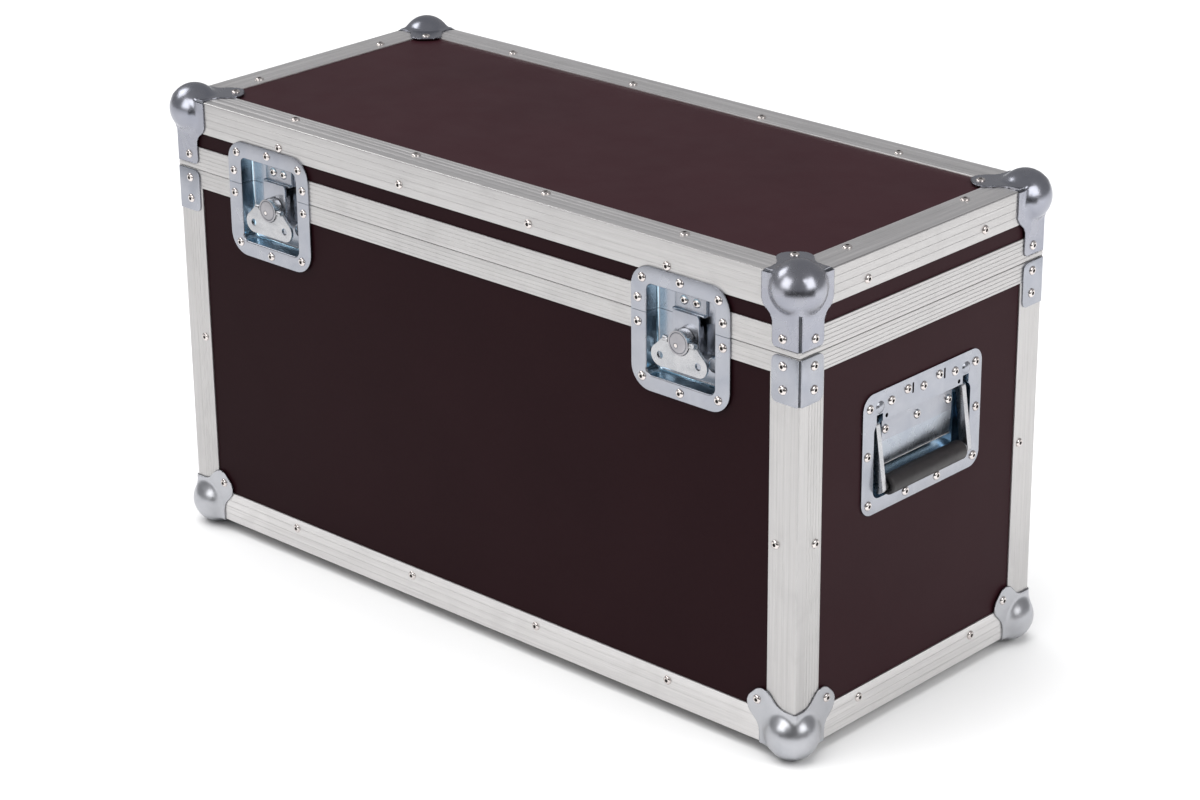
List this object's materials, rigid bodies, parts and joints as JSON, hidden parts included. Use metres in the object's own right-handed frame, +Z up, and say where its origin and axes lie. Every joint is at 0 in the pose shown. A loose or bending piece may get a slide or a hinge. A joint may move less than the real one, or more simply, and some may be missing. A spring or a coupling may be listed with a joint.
{
  "type": "flight case",
  "caption": "Lidded plywood transport case in riveted aluminium edging, with ball corners, recessed butterfly latches, sprung end handles and a hinged lid.",
  "frame": {"origin": "on the floor under the middle of the case, level with the bottoms of the ball corners", "axes": "+X along the length to the right, the latches face -Y, +Z up"},
  "size_m": [0.755, 0.34, 0.4325],
  "materials": {
    "film_ply": "dark brown phenolic film over birch plywood, semi-gloss",
    "edging": "mill-finish ribbed aluminium extrusion",
    "zinc_steel": "bright zinc-plated pressed steel with a blue tint",
    "bright_steel": "polished plated steel",
    "rivet": "bright domed blind rivet",
    "grip_rubber": "matt black rubber"
  },
  "bodies": {
    "case_body": {"body_panel_front": "film_ply", "body_panel_back": "film_ply", "body_panel_left": "film_ply", "body_panel_right": "film_ply", "body_panel_bottom": "film_ply", "bottom_edge_front": "edging", "bottom_edge_back": "edging", "bottom_edge_left": "edging", "bottom_edge_right": "edging", "corner_edge_front_left": "edging", "corner_edge_front_right": "edging", "corner_edge_back_left": "edging", "corner_edge_back_right": "edging", "body_rim_front": "edging", "body_rim_back": "edging", "body_rim_left": "edging", "body_rim_right": "edging", "bottom_ball_corners": "zinc_steel", "corner_braces": "zinc_steel", "body_rivets": "rivet", "latch_dish_left": "zinc_steel", "latch_dish_right": "zinc_steel", "handle_dish_left": "zinc_steel", "handle_dish_right": "zinc_steel", "handle_spring_left": "bright_steel", "handle_spring_right": "bright_steel", "hinge_leaf_body_left": "zinc_steel", "hinge_leaf_body_right": "zinc_steel", "hinge_pins": "bright_steel"},
    "lid": {"lid_panel_front": "film_ply", "lid_panel_back": "film_ply", "lid_panel_left": "film_ply", "lid_panel_right": "film_ply", "lid_panel_top": "film_ply", "lid_edge_front": "edging", "lid_edge_back": "edging", "lid_edge_left": "edging", "lid_edge_right": "edging", "lid_rim_front": "edging", "lid_rim_back": "edging", "lid_rim_left": "edging", "lid_rim_right": "edging", "lid_ball_corners": "zinc_steel", "lid_rivets": "rivet", "lid_dish_left": "zinc_steel", "lid_dish_right": "zinc_steel", "keeper_left": "zinc_steel", "keeper_right": "zinc_steel", "hinge_leaf_lid_left": "zinc_steel", "hinge_leaf_lid_right": "zinc_steel"},
    "left_stem": {"stem_left": "bright_steel"},
    "left_claw": {"claw_left": "bright_steel"},
    "left_wing": {"wing_left": "bright_steel"},
    "left_bail": {"bail_left": "bright_steel", "grip_left": "grip_rubber"},
    "right_stem": {"stem_right": "bright_steel"},
    "right_claw": {"claw_right": "bright_steel"},
    "right_wing": {"wing_right": "bright_steel"},
    "right_bail": {"bail_right": "bright_steel", "grip_right": "grip_rubber"}
  },
  "joints": [
    {"name": "lid_hinge", "type": "hinge", "parent": "case_body", "child": "lid", "pos_m": [0, 0.163, 0.356], "axis": [-1, 0, 0], "range_deg": [0, 105]},
    {"name": "left_latch_turn", "type": "hinge", "parent": "case_body", "child": "left_stem", "pos_m": [-0.244, -0.159, 0.3395], "axis": [0, 1, 0], "range_deg": [0, 180]},
    {"name": "left_claw_lift", "type": "slide", "parent": "case_body", "child": "left_claw", "axis": [0, 0, 1], "range_m": [0, 0.006]},
    {"name": "left_wing_fold", "type": "hinge", "parent": "left_stem", "child": "left_wing", "pos_m": [-0.244, -0.1606, 0.3395], "axis": [-1, 0, 0], "range_deg": [0, 90]},
    {"name": "left_handle_lift", "type": "hinge", "parent": "case_body", "child": "left_bail", "pos_m": [-0.3555, 0, 0.266], "axis": [0, 1, 0], "range_deg": [0, 90], "stiffness_Nm_per_rad": 0.15, "springref_deg": -28.65},
    {"name": "right_latch_turn", "type": "hinge", "parent": "case_body", "child": "right_stem", "pos_m": [0.244, -0.159, 0.3395], "axis": [0, 1, 0], "range_deg": [0, 180]},
    {"name": "right_claw_lift", "type": "slide", "parent": "case_body", "child": "right_claw", "axis": [0, 0, 1], "range_m": [0, 0.006]},
    {"name": "right_wing_fold", "type": "hinge", "parent": "right_stem", "child": "right_wing", "pos_m": [0.244, -0.1606, 0.3395], "axis": [-1, 0, 0], "range_deg": [0, 90]},
    {"name": "right_handle_lift", "type": "hinge", "parent": "case_body", "child": "right_bail", "pos_m": [0.3555, 0, 0.266], "axis": [0, -1, 0], "range_deg": [0, 90], "stiffness_Nm_per_rad": 0.15, "springref_deg": -28.65}
  ],
  "couplings": [
    {"joint": "left_claw_lift", "follows": "left_latch_turn", "m_per_rad": 0.0019},
    {"joint": "right_claw_lift", "follows": "right_latch_turn", "m_per_rad": 0.0019}
  ]
}
